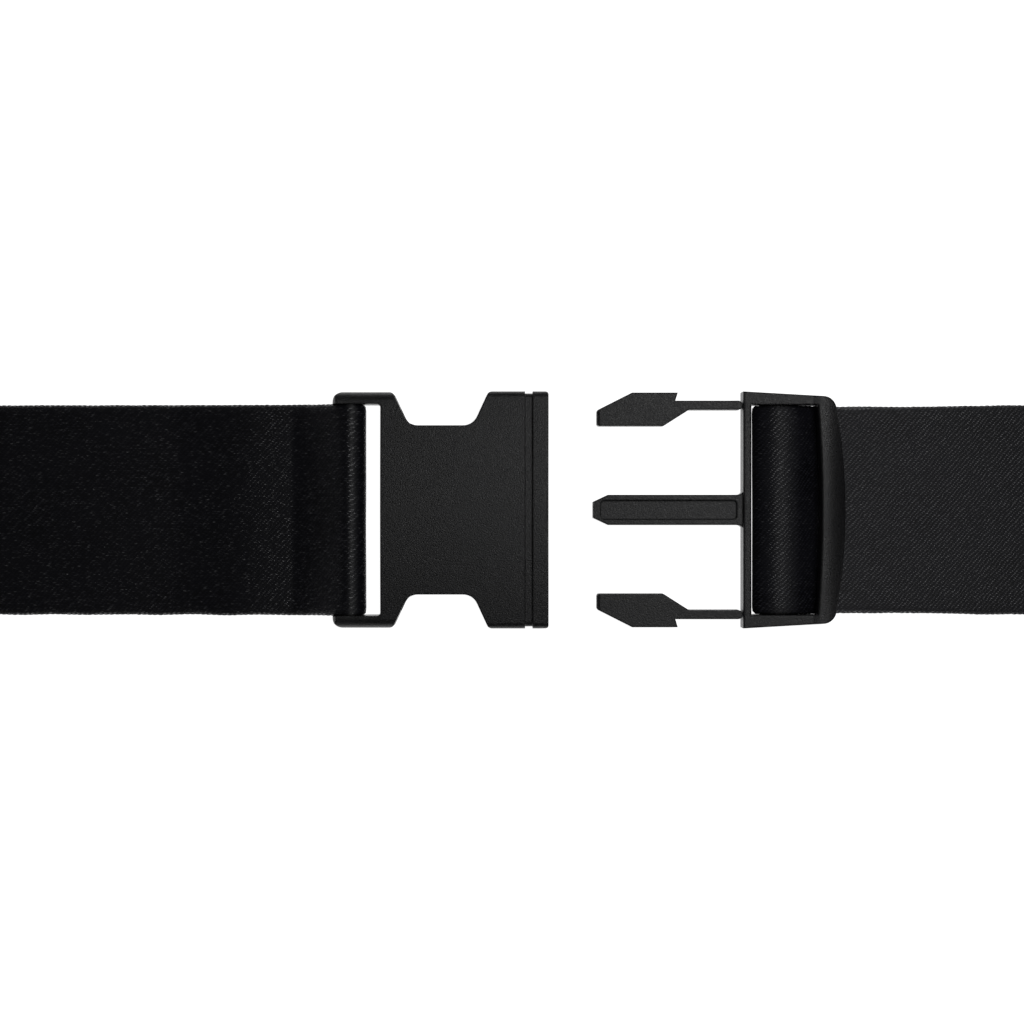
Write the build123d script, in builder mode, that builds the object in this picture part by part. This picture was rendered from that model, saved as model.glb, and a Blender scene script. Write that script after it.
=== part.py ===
"""Money belt: 50 mm webbing, an open side-release buckle and a hidden zipped pocket.

The belt is a ring laid on a table.  The buckle and the webbing beside it lie flat.  Further
out the webbing turns onto its edge, runs round and stands on edge along the back, where the
pocket is sewn to its inner face.

Millimetres.  +X runs along the belt from the socket to the plug, +Y towards the back of the
ring, +Z up.  The origin is under the middle of the whole belt, on the table.
"""
from build123d import *
from math import cos, pi, radians, sin
import os

# ---------------------------------------------------------------- driving dimensions
WEB_WIDTH = 50.0            # two-inch webbing
WEB_THICK = 1.5
SIDE_GAP = 0.3              # between neighbours on different bodies

BUCKLE_HEIGHT = 9.5
BUCKLE_HALF = 28.25         # half of the buckle's width, at the socket's mouth
MID_Z = BUCKLE_HEIGHT / 2

RING_DEPTH = 160.0          # buckle line to the back run
TURN_START = 130.0          # x where the webbing starts to turn
TWIST_START = 126.0         # x where it starts to roll onto its edge
TWIST_LENGTH = 112.0
POCKET_LENGTH = 230.0
POCKET_HEIGHT = 44.0

BACK_OUTER = RING_DEPTH + WEB_THICK / 2
BUCKLE_Y = (BUCKLE_HALF - BACK_OUTER) / 2             # centres the ring on the origin
BACK_Y = BUCKLE_Y + RING_DEPTH
BACK_INNER_Y = BACK_Y - WEB_THICK / 2

PLAN = Plane.XY.shift_origin((0, BUCKLE_Y, 0))             # seen from above
ACROSS = Plane.YZ.shift_origin((0, BUCKLE_Y, 0))           # seen along the belt
SIDE = Plane.XZ.offset(-BUCKLE_Y)                          # seen from the front
EVERYWHERE = 60.0                                          # long enough to cut right through
MIRROR = Plane.XZ                                          # a sketch's own middle line

os.makedirs("parts", exist_ok=True)


def save(piece, name):
    """Labels a finished piece and writes its STEP file."""
    piece.part.label = name
    export_step(piece.part, f"parts/{name}.step")


def fillet_where(sketch, radius, low_x, high_x):
    """Rounds the corners of a sketch whose x lies between two values."""
    fillet(sketch.vertices().filter_by_position(Axis.X, low_x, high_x), radius)


def buckle_section(half, height, edge, corner, at_x=0.0):
    """Closed cross-section of a crowned plate: flat below, slightly domed above."""
    with BuildSketch(ACROSS.offset(at_x)) as section:
        with BuildLine():
            Polyline((-half, edge), (-half, 0), (half, 0), (half, edge))
            ThreePointArc((half, edge), (0, height), (-half, edge))
        make_face()
        fillet(section.vertices(), corner)
    return section


# ---------------------------------------------------------------- socket of the buckle
SOCKET_LEFT = -42.8
SOCKET_MOUTH = 8.7
EAR_HALF = 28.1
NOTCH_LEFT = -28.4          # the notch in each side, at its open end
NOTCH_RIGHT = -5.55
NOTCH_SLANT = 3.75          # how far its two walls lean in
NECK_MIDDLE = (NOTCH_LEFT + NOTCH_RIGHT) / 2
NECK_HALF = 20.1
NECK_ROOM_HALF = 14.2       # between the plates the neck is narrower: room to press the arms in
SCOOP_END = 26.0            # the upper plate is scooped out from here to the neck
SCOOP_DEPTH = 0.8
WALL = 1.8
PLATE = 2.0                 # wall above and below the socket's cavity
MOUTH_INNER_HALF = 26.2
MOUTH_DEPTH = 21.1          # how far in the full width of the mouth reaches
HOOK_STOP = -5.2            # face inside the collar that the arms' hooks catch on
BAR_X = -38.9
BAR_RADIUS = 2.5
SLOT_RIGHT = -31.3
SLOT_HALF = 25.2
SLOT_LENGTH = SLOT_RIGHT - SOCKET_LEFT
CAVITY_END = -26.6
CAVITY_HEIGHT = BUCKLE_HEIGHT - 2 * PLATE
NECK_START = SOCKET_MOUTH - MOUTH_DEPTH
GUIDE_HALF = 4.0            # half the channel that the plug's prong slides in
GUIDE_WIDTH = 1.2
GUIDE_LENGTH = 14.6
GROOVE_X = 3.1
GROOVE_WIDTH = 1.8
GROOVE_DEPTH = 0.5
DOME = 1.1                  # how much lower the buckle's top is along its sides

# long bar of the buckle's section, rounder along the ears than along the mouth
ears = buckle_section(EAR_HALF, BUCKLE_HEIGHT, BUCKLE_HEIGHT - DOME, 2.4, at_x=NECK_MIDDLE)
mouth = buckle_section(BUCKLE_HALF, BUCKLE_HEIGHT, BUCKLE_HEIGHT - DOME, 1.5, at_x=NECK_MIDDLE)
with BuildPart() as crown:
    extrude(ears.sketch, amount=-EVERYWHERE)
    extrude(mouth.sketch, amount=EVERYWHERE)

# the same section a groove's depth smaller
core = buckle_section(
    BUCKLE_HALF - GROOVE_DEPTH,
    BUCKLE_HEIGHT - 2 * GROOVE_DEPTH,
    BUCKLE_HEIGHT - 2 * GROOVE_DEPTH - 0.8 * DOME,
    1.1,
)

with BuildPart() as socket_housing:
    # outer outline: ears for the webbing bar, waisted neck, wide mouth
    with BuildSketch(PLAN) as outline:
        with BuildLine():
            Polyline(
                (SOCKET_LEFT, 0),
                (SOCKET_LEFT, EAR_HALF),
                (NOTCH_LEFT, EAR_HALF),
                (NOTCH_LEFT + NOTCH_SLANT, NECK_HALF),
                (NOTCH_RIGHT - NOTCH_SLANT, NECK_HALF),
                (NOTCH_RIGHT, BUCKLE_HALF),
                (SOCKET_MOUTH, BUCKLE_HALF),
                (SOCKET_MOUTH, 0),
            )
            mirror(about=MIRROR)
        make_face()
        fillet_where(outline, 2.6, SOCKET_LEFT - 1, SOCKET_LEFT + 1)
        fillet_where(outline, 1.4, NOTCH_LEFT - 1, NOTCH_LEFT + 1)
        fillet_where(outline, 3.6, NOTCH_LEFT + 2, NOTCH_RIGHT - 2)
        fillet_where(outline, 1.4, NOTCH_RIGHT - 1, NOTCH_RIGHT + 1)
        fillet_where(outline, 0.8, SOCKET_MOUTH - 1, SOCKET_MOUTH + 1)
    extrude(amount=BUCKLE_HEIGHT)
    # domed top and eased long edges
    add(crown.part, mode=Mode.INTERSECT)
    # rounded ends in the side view
    with BuildSketch(SIDE) as side_outline:
        with Locations(((SOCKET_LEFT + SOCKET_MOUTH) / 2, MID_Z)):
            Rectangle(SOCKET_MOUTH - SOCKET_LEFT, BUCKLE_HEIGHT)
        fillet_where(side_outline, 3.2, SOCKET_LEFT - 1, SOCKET_LEFT + 1)
        fillet_where(side_outline, 0.7, SOCKET_MOUTH - 1, SOCKET_MOUTH + 1)
    extrude(amount=EVERYWHERE, both=True, mode=Mode.INTERSECT)
    # webbing slot, open at the end, with the bar put back across it
    with BuildSketch(PLAN):
        with Locations((SLOT_RIGHT - SLOT_LENGTH / 2 - 1, 0)):
            RectangleRounded(SLOT_LENGTH + 2, 2 * SLOT_HALF, 0.9)
    extrude(amount=BUCKLE_HEIGHT, mode=Mode.SUBTRACT)
    with BuildSketch(SIDE):
        with Locations((BAR_X, MID_Z)):
            Circle(BAR_RADIUS)
    extrude(amount=SLOT_HALF + 0.6, both=True)
    # cavity: wide at the mouth, then the neck, then room beside the neck for the arms' heads
    with BuildSketch(PLAN.offset(PLATE)):
        with Locations((SOCKET_MOUTH - MOUTH_DEPTH / 2, 0)):
            Rectangle(MOUTH_DEPTH, 2 * MOUTH_INNER_HALF)
        with Locations(((CAVITY_END + NECK_START) / 2, 0)):
            Rectangle(NECK_START - CAVITY_END, 2 * (NECK_ROOM_HALF - WALL))
        for side in (-1, 1):
            with Locations(((CAVITY_END + HOOK_STOP) / 2, side * (NECK_ROOM_HALF + EVERYWHERE / 2))):
                Rectangle(HOOK_STOP - CAVITY_END, EVERYWHERE)
    extrude(amount=CAVITY_HEIGHT, mode=Mode.SUBTRACT)
    # two ribs that guide the plug's prong
    with BuildSketch(PLAN.offset(PLATE)):
        for side in (-1, 1):
            with Locations((CAVITY_END + GUIDE_LENGTH / 2 - 0.2, side * (GUIDE_HALF + GUIDE_WIDTH / 2))):
                Rectangle(GUIDE_LENGTH, GUIDE_WIDTH)
    extrude(amount=CAVITY_HEIGHT)
    # the upper plate is scooped out a little at each notch's outer wall, for a fingertip
    with BuildSketch(PLAN.offset(BUCKLE_HEIGHT - PLATE)):
        with BuildLine():
            wall = Line(
                (NOTCH_LEFT + NOTCH_SLANT * (EAR_HALF - SCOOP_END) / (EAR_HALF - NECK_HALF), SCOOP_END),
                (NOTCH_LEFT + NOTCH_SLANT + 0.6, NECK_HALF),
            )
            SagittaArc(wall @ 0, wall @ 1, SCOOP_DEPTH)
        make_face()
        mirror(about=MIRROR)
    extrude(amount=PLATE, mode=Mode.SUBTRACT)
    # lead-in at the mouth
    mouth_rim = socket_housing.faces().sort_by(Axis.X)[-1]
    chamfer(mouth_rim.inner_wires()[0].edges(), 0.4)
    # shallow groove all round behind the mouth's collar
    with BuildSketch(ACROSS.offset(GROOVE_X)):
        Rectangle(3 * BUCKLE_HALF, 5 * BUCKLE_HEIGHT)
        with Locations((0, GROOVE_DEPTH)):
            add(core.sketch_local, mode=Mode.SUBTRACT)
    extrude(amount=GROOVE_WIDTH, mode=Mode.SUBTRACT)
save(socket_housing, "socket_housing")


# ---------------------------------------------------------------- plug of the buckle
PLUG_FRONT = 55.0
PLUG_FRONT_HALF = 28.2
PLUG_REAR = 76.6
PLUG_REAR_HALF = 26.9
PLUG_REAR_MIDDLE = 79.5     # the rear edge is bowed
PLUG_BOTTOM = 0.2
PLUG_TOP = 9.3
RAIL_INNER = 25.05
WINDOW_FRONT = 57.0
WINDOW_REAR = 72.6
WINDOW_REAR_MIDDLE = 73.6
REAR_SIDE = PLUG_REAR_MIDDLE + 0.8   # the side view ends just past the bowed rear edge
CREST = WINDOW_REAR + 1.6   # the rear bar is highest here
FRONT_TOP = PLUG_TOP - 1.4
WAY_OUT = 12.0              # length of the opening for the webbing below the rear bar
WAY_OUT_START = WINDOW_REAR - 2.6
UNDER_BAR = 3.6             # headroom for the two webbing legs there
ADJUST_BAR_X = 63.9
ADJUST_BAR_Z = 3.75
ADJUST_BAR_A = 4.7          # half width of the oval adjuster bar
ADJUST_BAR_B = 1.75         # half its height
PRONG_HALF = 3.6
PRONG_TIP = 19.3
PRONG_TIP_HALF = 1.9
PRONG_TAPER = 3.6
PRONG_RIM = 1.35            # raised rail round the panel sunk into the prong
PANEL_START = PRONG_TIP + 1.8
PANEL_END = 53.6
PANEL_SUNK = 0.6
ARM_HEIGHT = 4.9
ARM_LOW = MID_Z - ARM_HEIGHT / 2
ARM_HIGH = MID_Z + ARM_HEIGHT / 2

with BuildPart() as plug_frame:
    with BuildSketch(PLAN) as outline:
        with BuildLine():
            ThreePointArc(
                (PLUG_REAR, PLUG_REAR_HALF), (PLUG_REAR_MIDDLE, 0), (PLUG_REAR, -PLUG_REAR_HALF)
            )
            Polyline(
                (PLUG_REAR, -PLUG_REAR_HALF),
                (PLUG_FRONT, -PLUG_FRONT_HALF),
                (PLUG_FRONT, PLUG_FRONT_HALF),
                (PLUG_REAR, PLUG_REAR_HALF),
            )
        make_face()
        fillet_where(outline, 3.3, PLUG_REAR - 1, PLUG_REAR + 1)
    extrude(amount=PLUG_TOP)
    # side view: low at the front, highest over the rear bar, rounded down behind it
    with BuildSketch(SIDE):
        with BuildLine():
            base = Polyline(
                (PLUG_FRONT, FRONT_TOP),
                (PLUG_FRONT, PLUG_BOTTOM + 1.0),
                (PLUG_FRONT + 2.4, PLUG_BOTTOM),
                (REAR_SIDE, PLUG_BOTTOM),
                (REAR_SIDE, PLUG_TOP - 4.2),
            )
            back = Spline(
                base @ 1,
                (REAR_SIDE - 1.7, PLUG_TOP - 1.7),
                (REAR_SIDE - 3.8, PLUG_TOP - 0.7),
                (CREST, PLUG_TOP - 0.3),
                (WINDOW_REAR - 1.0, PLUG_TOP - 0.6),
            )
            Line(back @ 1, base @ 0)
        make_face()
    extrude(amount=EVERYWHERE, both=True, mode=Mode.INTERSECT)
    # rounded shoulders along both rails
    rails = buckle_section(PLUG_FRONT_HALF, PLUG_TOP, PLUG_TOP - 0.2, 0.9)
    extrude(rails.sketch, amount=2 * EVERYWHERE, mode=Mode.INTERSECT)
    # window for the webbing, then the way out below the rear bar
    with BuildSketch(PLAN):
        with BuildLine():
            Polyline(
                (WINDOW_REAR, -RAIL_INNER),
                (WINDOW_FRONT, -RAIL_INNER),
                (WINDOW_FRONT, RAIL_INNER),
                (WINDOW_REAR, RAIL_INNER),
            )
            ThreePointArc(
                (WINDOW_REAR, RAIL_INNER), (WINDOW_REAR_MIDDLE, 0), (WINDOW_REAR, -RAIL_INNER)
            )
        make_face()
    extrude(amount=EVERYWHERE, mode=Mode.SUBTRACT)
    with BuildSketch(PLAN):
        with Locations((WAY_OUT_START + WAY_OUT / 2, 0)):
            Rectangle(WAY_OUT, 2 * RAIL_INNER)
    extrude(amount=UNDER_BAR, mode=Mode.SUBTRACT)
    # eased upper edges of the two crossbars
    crossbar_edges = plug_frame.edges().filter_by_position(Axis.Z, PLUG_TOP - 1.8, PLUG_TOP)
    crossbar_edges = crossbar_edges.filter_by(
        lambda edge: edge.center().X < WINDOW_REAR_MIDDLE
        and abs(edge.center().Y - BUCKLE_Y) < BUCKLE_HALF / 2
    )
    fillet(crossbar_edges, 0.5)
    # oval bar that the webbing doubles round
    with BuildSketch(SIDE):
        with Locations((ADJUST_BAR_X, ADJUST_BAR_Z)):
            Ellipse(ADJUST_BAR_A, ADJUST_BAR_B)
    extrude(amount=RAIL_INNER + 0.6, both=True)
    # centre prong with a tapered tip and a flared root
    with BuildSketch(PLAN.offset(ARM_LOW)):
        with BuildLine():
            tip = Line((PRONG_TIP, 0), (PRONG_TIP, PRONG_TIP_HALF))
            taper = Line(tip @ 1, (PRONG_TIP + PRONG_TAPER, PRONG_HALF))
            flank = Line(taper @ 1, (PANEL_END, PRONG_HALF))
            root = Spline(flank @ 1, (PLUG_FRONT + 0.5, 5.2), tangents=[(1, 0), (0.5, 1)])
            Line(root @ 1, (PLUG_FRONT + 0.5, 0))
            mirror(about=MIRROR)
        make_face()
    extrude(amount=ARM_HEIGHT)
    # shallow panels sunk into the prong's two faces leave raised rails round them
    for face_z, direction in ((ARM_HIGH, -1), (ARM_LOW, 1)):
        with BuildSketch(PLAN.offset(face_z)):
            with Locations(((PANEL_END + PANEL_START) / 2, 0)):
                RectangleRounded(PANEL_END - PANEL_START, 2 * (PRONG_HALF - PRONG_RIM), 0.9)
        extrude(amount=direction * PANEL_SUNK, mode=Mode.SUBTRACT)
save(plug_frame, "plug_frame")


# Each latch arm is a thin springy beam with a hooked head.  The beam ends in a round that
# sits against the frame, where the plastic bends.
BEAM = 2.15
ARM_ROOT_X = PLUG_FRONT - 0.05 - BEAM / 2
ARM_ROOT_HALF = 24.95       # from the centre line to the middle of the beam
HEAD_TIP = 20.2
HEAD_INNER = 20.0
HEAD_OUTER = 27.95
HOOK_X = 39.5
NOSE_BEVEL = 0.6
ARM_END = PLUG_FRONT + 1.0  # just past the arms


def latch_arm(side):
    """One arm of the plug: side is -1 for the front arm and 1 for the back arm."""
    with BuildPart() as arm:
        with BuildSketch(PLAN.offset(ARM_LOW)) as outline:
            with BuildLine():
                flanks = Polyline(
                    (ARM_ROOT_X, ARM_ROOT_HALF - BEAM / 2),
                    (HOOK_X + 2.7, ARM_ROOT_HALF - BEAM / 2),
                    (HOOK_X - 3.4, HEAD_INNER),
                    (HEAD_TIP, HEAD_INNER),
                    (HEAD_TIP, HEAD_INNER + 3.7),
                    (HEAD_TIP + 8.4, HEAD_OUTER),
                    (HOOK_X, HEAD_OUTER),
                    (HOOK_X - 0.6, ARM_ROOT_HALF + BEAM / 2),
                    (ARM_ROOT_X, ARM_ROOT_HALF + BEAM / 2),
                )
                ThreePointArc(
                    flanks @ 1,
                    (ARM_ROOT_X + BEAM / 2, ARM_ROOT_HALF),
                    flanks @ 0,
                )
            make_face()
            fillet_where(outline, 0.6, HEAD_TIP - 1, HOOK_X - 1.5)
        extrude(amount=ARM_HEIGHT)
        # bevelled nose, so that the head finds its way into the mouth
        with BuildSketch(SIDE):
            with BuildLine():
                Polyline(
                    (HEAD_TIP, ARM_LOW + NOSE_BEVEL),
                    (HEAD_TIP + NOSE_BEVEL, ARM_LOW),
                    (ARM_END, ARM_LOW),
                    (ARM_END, ARM_HIGH),
                    (HEAD_TIP + NOSE_BEVEL, ARM_HIGH),
                    (HEAD_TIP, ARM_HIGH - NOSE_BEVEL),
                    close=True,
                )
            make_face()
        extrude(amount=EVERYWHERE, both=True, mode=Mode.INTERSECT)
    if side < 0:
        with BuildPart() as mirrored:
            add(arm.part.mirror(SIDE))
        return mirrored
    return arm


save(latch_arm(-1), "latch_arm_front")
save(latch_arm(1), "latch_arm_back")


# ---------------------------------------------------------------- webbing
TAIL_END = 122.0            # the adjuster's tail lies below the belt as far as this
TAIL_WIDTH = 49.4
LAYER = WEB_THICK + SIDE_GAP
LOWER_MID = WEB_THICK / 2   # height of the middle of webbing that lies on the table
UPPER_MID = LAYER + LOWER_MID               # and of webbing that lies on the adjuster's tail
RIGHT_END = 80.2            # where the belt's own run meets the adjuster
FOLD_END = -60.0            # end of the hem sewn under the belt at the socket
HEM_MID = 2.36              # height of the belt's middle where it lies on the hem
TURN_LENGTH = 302.0         # length of webbing in each end turn
TURN_SECTIONS = 14
FINE_STEPS = 40             # steps of the sum between two sections


def smooth(share):
    """Eases from 0 to 1."""
    share = min(max(share, 0.0), 1.0)
    return share * share * (3 - 2 * share)


def ribbon(points, width):
    """A strip of webbing whose middle line runs through points (x, z) in the side view."""
    half = WEB_THICK / 2
    above = []
    below = []
    for index, (x, z) in enumerate(points):
        before = points[max(index - 1, 0)]
        after = points[min(index + 1, len(points) - 1)]
        run = Vector(after[0] - before[0], after[1] - before[1]).normalized()
        above.append((x - run.Y * half, z + run.X * half))
        below.append((x + run.Y * half, z - run.X * half))
    with BuildPart() as strip:
        with BuildSketch(SIDE):
            with BuildLine():
                Polyline(*above, *reversed(below), close=True)
            make_face()
        extrude(amount=width / 2, both=True)
    return strip


def turn_planes(side, lift):
    """Planes square to the webbing, from the buckle's line round one end to the back run.

    The heading eases through half a circle.  The roll from lying flat to standing on edge
    starts first, so that the webbing is on edge where it bends most.  Each plane's x axis
    lies across the webbing.
    """
    places = [(TWIST_START, 0.0, 0.0, 0.0, 0.0)]
    place = Vector(TURN_START, 0)
    travelled = 0.0
    fine = TURN_LENGTH / (TURN_SECTIONS * FINE_STEPS)
    for index in range(TURN_SECTIONS * FINE_STEPS + 1):
        heading = pi * smooth(travelled / TURN_LENGTH)
        if index % FINE_STEPS == 0:
            share = (travelled + TURN_START - TWIST_START) / TWIST_LENGTH
            places.append((place.X, place.Y, heading, pi / 2 * smooth(share), share))
        place += Vector(cos(heading), sin(heading)) * fine
        travelled += fine
    depth_scale = RING_DEPTH / places[-1][1]
    planes = []
    for x, y, heading, roll, share in places:
        height = WEB_WIDTH / 2 * sin(roll) + WEB_THICK / 2 * cos(roll)
        height += lift * (1 - smooth(share / 0.6))
        outward = Vector(side * sin(heading), -cos(heading), 0)
        across = outward * cos(roll) - Vector(0, 0, 1) * sin(roll)
        along = Vector(cos(heading), side * sin(heading), 0)
        origin = (side * x, BUCKLE_Y + y * depth_scale, height)
        planes.append(Plane(origin=origin, x_dir=across, z_dir=along))
    return planes


def round_bar(bar_x, bar_z, half_length, half_height, turns):
    """Points (x, z) of webbing laid round a bar: turns are in degrees from +x towards +z."""
    return [
        (bar_x + half_length * cos(radians(turn)), bar_z + half_height * sin(radians(turn)))
        for turn in turns
    ]


# At the socket the belt climbs onto its hem, rises to the bar, goes over and round it and
# comes back below as the hem.
bar_loop = BAR_RADIUS + 0.05 + WEB_THICK / 2
left_run = [(-TWIST_START, LOWER_MID), (-100, LOWER_MID), (-84, 0.85), (-72, 1.6), (-62, HEM_MID)]
left_run += [(-48.5, HEM_MID), (-46.5, 3.1), (-44, 5.6), (-42.3, 7.0)]
left_run += round_bar(BAR_X, MID_Z, bar_loop, bar_loop, range(105, -106, -15))
left_run += [(-42.6, 1.0), (-46, LOWER_MID), (FOLD_END, LOWER_MID)]
right_run = [(RIGHT_END, UPPER_MID), (TWIST_START, UPPER_MID)]

with BuildPart() as webbing_belt:
    for section in turn_planes(1, LAYER) + turn_planes(-1, 0)[::-1]:
        with BuildSketch(section):
            Rectangle(WEB_WIDTH, WEB_THICK)
    loft(ruled=True)
    add(ribbon(left_run, WEB_WIDTH).part)
    add(ribbon(right_run, WEB_WIDTH).part)
save(webbing_belt, "webbing_belt")

# The adjuster's own stretch of webbing: over the oval bar, back below it, and out as a tail.
off_bar = 0.2 + WEB_THICK / 2
adjuster_run = [(RIGHT_END - SIDE_GAP, UPPER_MID), (73.2, UPPER_MID), (71.7, 2.8), (69.9, 4.0)]
adjuster_run += round_bar(
    ADJUST_BAR_X, ADJUST_BAR_Z, ADJUST_BAR_A + off_bar, ADJUST_BAR_B + off_bar, range(40, 271, 10)
)
adjuster_run += [(67.5, 1.0), (71.0, 0.77), (73.0, LOWER_MID), (TAIL_END, LOWER_MID)]

with BuildPart() as webbing_adjuster_loop:
    add(ribbon(adjuster_run, TAIL_WIDTH).part)
save(webbing_adjuster_loop, "webbing_adjuster_loop")


# ---------------------------------------------------------------- stitches
STITCH = 2.6
STITCH_PITCH = 3.6
THREAD = 0.5
THREAD_PROUD = 0.25
HEM_ROWS = (FOLD_END + 2.5, FOLD_END + 9.5)
HEM_STITCHES = 13

with BuildPart() as hem_stitching:
    with BuildSketch(PLAN.offset(HEM_MID + WEB_THICK / 2)):
        for row_x in HEM_ROWS:
            with Locations((row_x, 0)):
                with GridLocations(1, STITCH_PITCH, 1, HEM_STITCHES):
                    Rectangle(THREAD, STITCH)
    extrude(amount=THREAD_PROUD)
save(hem_stitching, "hem_stitching")


# ---------------------------------------------------------------- pocket
# Depths are measured inwards from the inner face of the back run.
MID_HEIGHT = WEB_WIDTH / 2
BACKING = 0.8
POCKET_DEPTH = 5.0
POCKET_CORNER = 3.0
PANEL = 0.8
BINDING = 2.2
BINDING_DEPTH = BACKING + 1.0
TAPER = 30.0
ZIP_GAP = 6.8               # height of the gap between the two face panels
ZIP_Z = 30.0
TAB_START = 106.0
TAB_LENGTH_X = POCKET_LENGTH / 2 - TAB_START
LOWER_HEIGHT = ZIP_Z - ZIP_GAP / 2
UPPER_HEIGHT = WEB_WIDTH - ZIP_Z - ZIP_GAP / 2
LONG_STITCHES = 62          # along each long side of the binding
SHORT_STITCHES = 11
ZIP_STITCHES = 58
POCKET_PLANE = Plane.XZ.offset(-BACK_INNER_Y)


def pocket_tray():
    """Raised face of the pocket, before it is parted along the zip."""
    with BuildPart() as tray:
        with BuildSketch(POCKET_PLANE.offset(BACKING)):
            with Locations((0, MID_HEIGHT)):
                RectangleRounded(POCKET_LENGTH, POCKET_HEIGHT, POCKET_CORNER)
        extrude(amount=POCKET_DEPTH - BACKING, taper=TAPER)
        with BuildSketch(POCKET_PLANE.offset(BACKING)):
            with Locations((0, MID_HEIGHT)):
                RectangleRounded(
                    POCKET_LENGTH - 2 * PANEL, POCKET_HEIGHT - 2 * PANEL, POCKET_CORNER - PANEL
                )
        extrude(amount=POCKET_DEPTH - BACKING - PANEL, taper=TAPER, mode=Mode.SUBTRACT)
    return tray


def tray_piece(name, *zones):
    """Keeps the part of the tray inside the zones: each is (x, z, length, height)."""
    with BuildPart() as piece:
        add(pocket_tray().part)
        with BuildSketch(POCKET_PLANE):
            for x, z, length, height in zones:
                with Locations((x, z)):
                    Rectangle(length, height)
        extrude(amount=POCKET_DEPTH + 1, mode=Mode.INTERSECT)
    save(piece, name)


with BuildPart() as pocket_backing:
    with BuildSketch(POCKET_PLANE):
        with Locations((0, MID_HEIGHT)):
            RectangleRounded(POCKET_LENGTH, POCKET_HEIGHT, POCKET_CORNER)
    extrude(amount=BACKING)
save(pocket_backing, "pocket_backing")

tab_middle = TAB_START + TAB_LENGTH_X / 2
tray_piece("pocket_panel_lower", (0, LOWER_HEIGHT / 2, POCKET_LENGTH, LOWER_HEIGHT))
tray_piece("pocket_panel_upper", (0, WEB_WIDTH - UPPER_HEIGHT / 2, POCKET_LENGTH, UPPER_HEIGHT))
tray_piece(
    "pocket_end_tabs",
    (-tab_middle, ZIP_Z, TAB_LENGTH_X, ZIP_GAP),
    (tab_middle, ZIP_Z, TAB_LENGTH_X, ZIP_GAP),
)

with BuildPart() as pocket_binding:
    with BuildSketch(POCKET_PLANE):
        with Locations((0, MID_HEIGHT)):
            RectangleRounded(
                POCKET_LENGTH + 2 * BINDING, POCKET_HEIGHT + 2 * BINDING, POCKET_CORNER + BINDING
            )
            RectangleRounded(POCKET_LENGTH, POCKET_HEIGHT, POCKET_CORNER, mode=Mode.SUBTRACT)
    extrude(amount=BINDING_DEPTH)
save(pocket_binding, "pocket_binding")

with BuildPart() as binding_stitching:
    with BuildSketch(POCKET_PLANE.offset(BINDING_DEPTH)):
        with Locations((0, MID_HEIGHT)):
            with GridLocations(STITCH_PITCH, POCKET_HEIGHT + BINDING, LONG_STITCHES, 2):
                Rectangle(STITCH, THREAD)
            with GridLocations(POCKET_LENGTH + BINDING, STITCH_PITCH, 2, SHORT_STITCHES):
                Rectangle(THREAD, STITCH)
    extrude(amount=THREAD_PROUD)
save(binding_stitching, "binding_stitching")

with BuildPart() as zip_stitching:
    with BuildSketch(POCKET_PLANE.offset(POCKET_DEPTH)):
        with Locations((0, ZIP_Z)):
            with GridLocations(STITCH_PITCH, ZIP_GAP + 2.4, ZIP_STITCHES, 2):
                Rectangle(STITCH, THREAD)
    extrude(amount=THREAD_PROUD)
save(zip_stitching, "zip_stitching")


# ---------------------------------------------------------------- zip
TAPE_DEPTH = POCKET_DEPTH - PANEL - 0.5     # the tapes lie against the panels' inner face
TAPE_TOP = POCKET_DEPTH - PANEL
TAPE_WIDTH = 9.4
TAPE_LENGTH = 221.0
COIL_WIDTH = 1.6
COIL_HEIGHT = 1.7
COIL_GAP = 1.0                              # between the two coils, where the slider's post runs
COIL_LENGTH = 206.0
STOP_LENGTH = 1.8
STOP_CORNER = 0.3
STOP_HEIGHT = COIL_HEIGHT + 0.2
STOP_X = COIL_LENGTH / 2 + 0.3 + STOP_LENGTH / 2
SLIDER_LENGTH = 9.0
SLIDER_WIDTH = 6.2
SLIDER_CORNER = 1.4
SLIDER_PLATE = 1.0
SLIDER_X = 97.0                             # rest: the zip is closed
SLIDER_CHANNEL = COIL_GAP + 2 * COIL_WIDTH + 2 * SIDE_GAP
FRONT_DEPTH = TAPE_TOP + COIL_HEIGHT + SIDE_GAP
BACK_DEPTH = TAPE_DEPTH - 0.4 - SLIDER_PLATE
POST_LENGTH = 2.2
POST_X = SLIDER_X + SLIDER_LENGTH / 2 - 1.6
BRIDGE_THICK = 1.6
TAB_AXIS_DEPTH = 8.4
TAB_Y = BACK_INNER_Y - TAB_AXIS_DEPTH
TAB_LENGTH = 22.0
TAB_WIDTH = 5.2
TAB_THICK = 1.2
PIN_RADIUS = 0.65


def zip_tape(name, side):
    """One woven tape: side is -1 below the coils and 1 above them."""
    with BuildPart() as tape:
        with BuildSketch(POCKET_PLANE.offset(TAPE_DEPTH)):
            with Locations((0, ZIP_Z + side * (COIL_GAP / 2 + 0.1 + TAPE_WIDTH / 2))):
                Rectangle(TAPE_LENGTH, TAPE_WIDTH)
        extrude(amount=TAPE_TOP - TAPE_DEPTH)
    save(tape, name)


def zip_coil(name, side):
    """One nylon coil, as a plain rod with its outer corners rounded."""
    with BuildPart() as coil:
        with BuildSketch(POCKET_PLANE.offset(TAPE_TOP)):
            with Locations((0, ZIP_Z + side * (COIL_GAP + COIL_WIDTH) / 2)):
                Rectangle(COIL_LENGTH, COIL_WIDTH)
        extrude(amount=COIL_HEIGHT)
        fillet(coil.faces().sort_by(Axis.Y)[0].edges().filter_by(Axis.X), 0.5)
    save(coil, name)


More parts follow.
